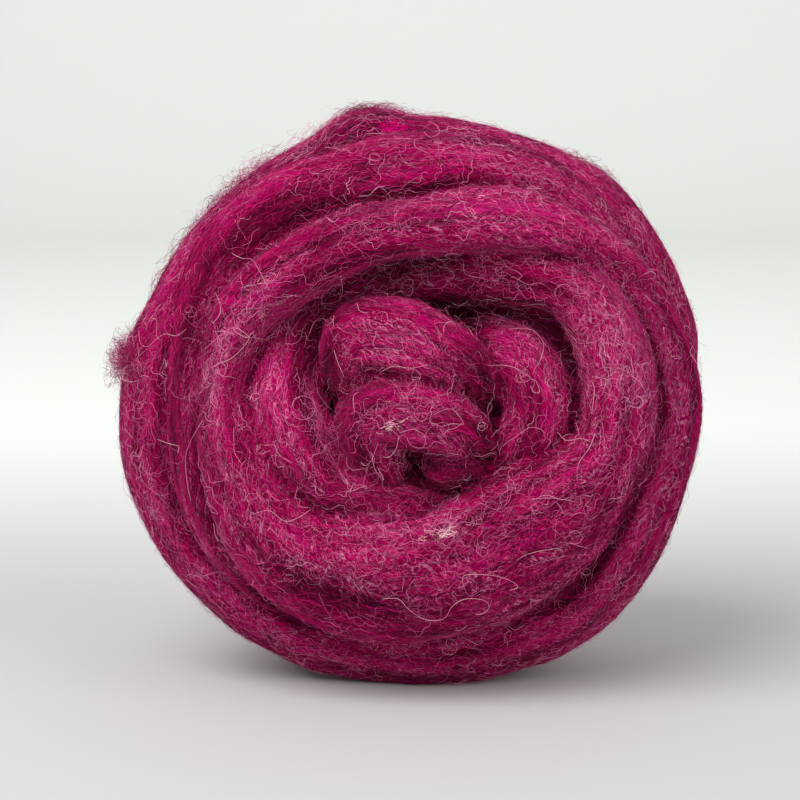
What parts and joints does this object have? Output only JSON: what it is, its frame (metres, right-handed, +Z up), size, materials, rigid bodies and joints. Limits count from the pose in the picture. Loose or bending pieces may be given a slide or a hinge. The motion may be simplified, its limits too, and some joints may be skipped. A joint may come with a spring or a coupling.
{
  "type": "wool roving ball",
  "caption": "Ball of soft wool roving, loosely wound, with its folded start showing in one face; it stands on its rim on a small flat foot.",
  "frame": {"origin": "on the surface that the ball stands on, under the middle of its outer box", "axes": "+Z up; the wound face with the folded start looks along -Y; +X is to the right as that face is seen"},
  "size_m": [0.1586, 0.1075, 0.1573],
  "materials": {
    "wool": "matte heathered wool fibre, magenta with plum and pale pink fibres"
  },
  "bodies": {
    "root": {"roving_ball": "wool"}
  },
  "joints": []
}
